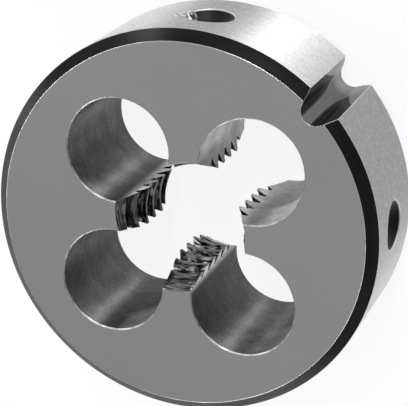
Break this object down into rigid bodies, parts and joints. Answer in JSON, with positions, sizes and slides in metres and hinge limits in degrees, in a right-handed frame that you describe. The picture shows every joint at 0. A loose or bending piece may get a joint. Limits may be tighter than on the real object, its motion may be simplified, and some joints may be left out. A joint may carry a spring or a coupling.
{
  "type": "round threading die",
  "caption": "Solid round threading die: a thick steel disc with a threaded centre bore cut into lands by round clearance holes, a notch and conical screw seats in the rim.",
  "frame": {"origin": "centre of the disc at its back face, which is the face it lies on", "axes": "+Z along the bore axis, out of the front face; -Y out through the adjusting notch"},
  "size_m": [0.025, 0.0249, 0.009],
  "materials": {
    "ground_tool_steel": "ground faces and rim, darker turned chamfers and drilled holes"
  },
  "bodies": {
    "root": {"threading_die": "ground_tool_steel"}
  },
  "joints": []
}
